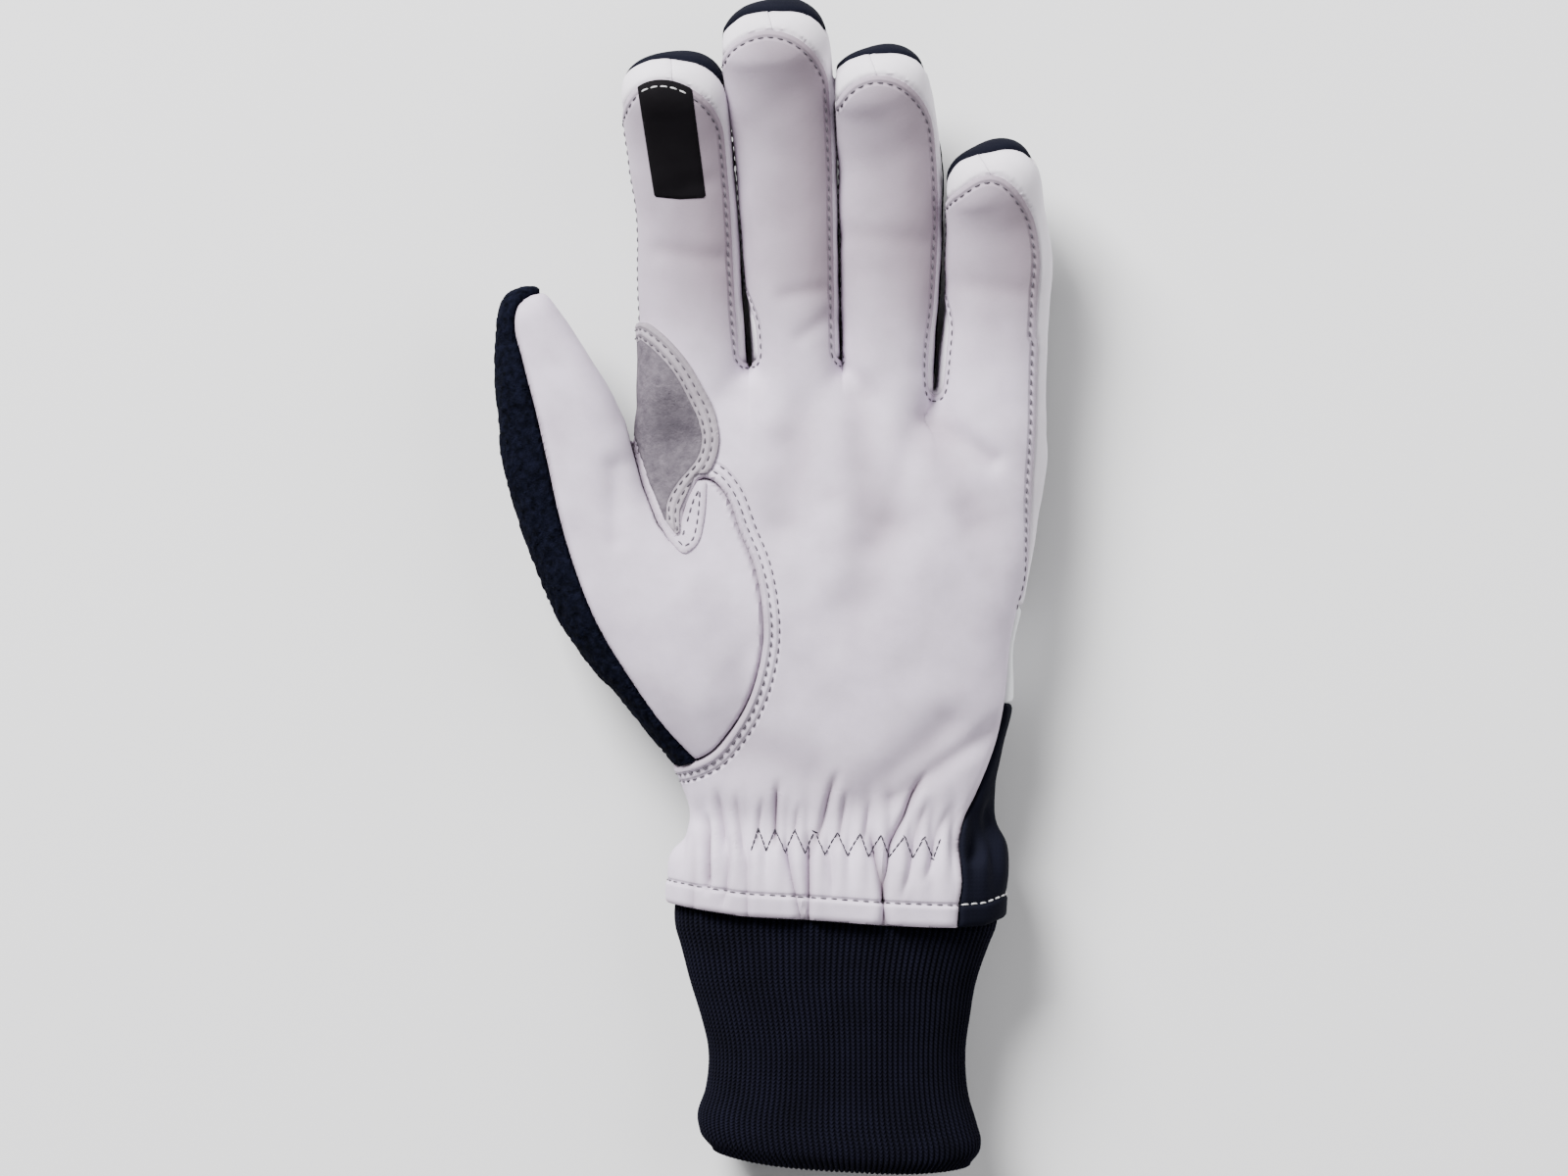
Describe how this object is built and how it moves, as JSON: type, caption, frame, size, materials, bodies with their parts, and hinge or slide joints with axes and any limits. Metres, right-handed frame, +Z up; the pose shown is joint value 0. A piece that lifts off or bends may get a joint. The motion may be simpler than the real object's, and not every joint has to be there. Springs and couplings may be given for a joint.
{
  "type": "cross-country ski glove",
  "caption": "Padded left-hand glove with separate fingers, leather palm, softshell back, terry thumb back and a long rib-knitted cuff, lying on its back with the palm up.",
  "frame": {"origin": "middle of the glove's plan, on the surface its back rests on", "axes": "+X towards the little finger, +Y along the fingers, +Z up out of the palm"},
  "size_m": [0.1372, 0.2868, 0.0396],
  "materials": {
    "leather": "matt synthetic leather, light grey",
    "strip": "matt synthetic leather, lighter grey",
    "suede": "napped synthetic suede, grey",
    "softshell": "matt stretch softshell, dark navy",
    "insert": "matt stretch softshell, white",
    "terry": "looped terry, dark navy",
    "knit": "ribbed knit, near-black navy",
    "touch": "conductive fabric, near black"
  },
  "bodies": {
    "root": {"palm_panel": "leather", "strip_index_outer": "strip", "strip_index_middle": "strip", "strip_middle_ring": "strip", "strip_ring_little": "strip", "strip_little_outer": "strip", "back_panel": "softshell", "side_insert": "insert", "thumb_front": "leather", "thumb_back": "terry", "saddle_patch": "suede", "crotch_tab": "leather", "touch_patch": "touch", "rib_cuff": "knit"}
  },
  "joints": []
}
